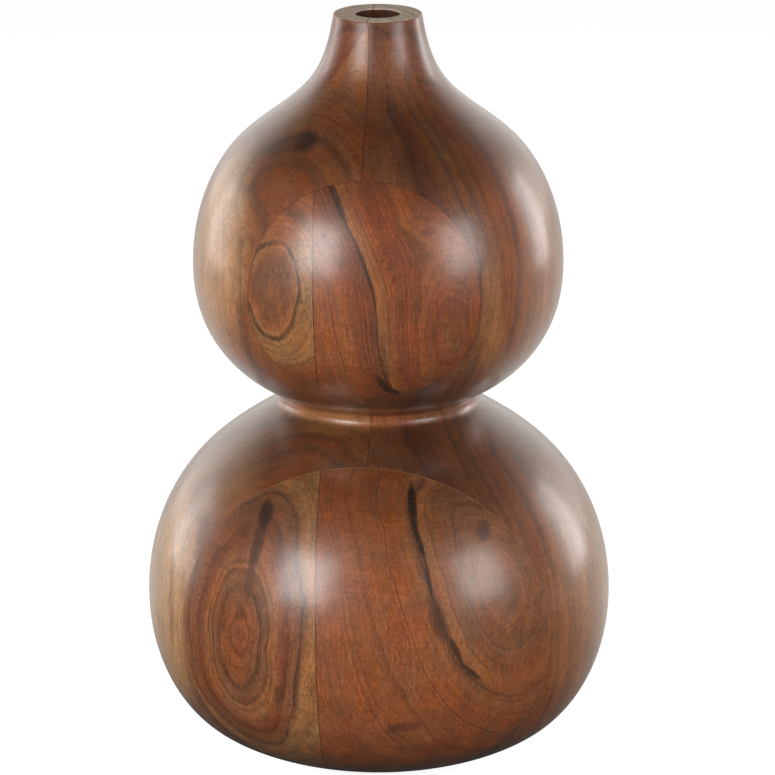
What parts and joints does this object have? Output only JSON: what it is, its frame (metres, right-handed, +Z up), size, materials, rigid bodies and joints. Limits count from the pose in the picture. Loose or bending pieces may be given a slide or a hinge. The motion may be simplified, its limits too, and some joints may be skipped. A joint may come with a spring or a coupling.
{
  "type": "double gourd vase",
  "caption": "Turned wooden vase in a double gourd shape, glued up from planks, with a narrow neck and a round bore for dry stems.",
  "frame": {"origin": "on the turning axis, at the underside of the felt pads", "axes": "+Z up along the turning axis to the rim; the front faces -Y; the planks of the blank lie square to Y"},
  "size_m": [0.2308, 0.2308, 0.3815],
  "materials": {
    "wood": "satin clear varnish over red brown hardwood, bare grey brown end grain on the rim",
    "felt": "dark brown pressed felt"
  },
  "bodies": {
    "root": {"core_board_left": "wood", "core_board_right": "wood", "front_inner_board_left": "wood", "front_inner_board_right": "wood", "back_inner_board_left": "wood", "back_inner_board_right": "wood", "front_upper_cap_left": "wood", "front_upper_cap_right": "wood", "front_lower_cap_left": "wood", "front_lower_cap_right": "wood", "back_upper_cap_left": "wood", "back_upper_cap_right": "wood", "back_lower_cap_left": "wood", "back_lower_cap_right": "wood", "felt_pad_1": "felt", "felt_pad_2": "felt", "felt_pad_3": "felt", "felt_pad_4": "felt"}
  },
  "joints": []
}
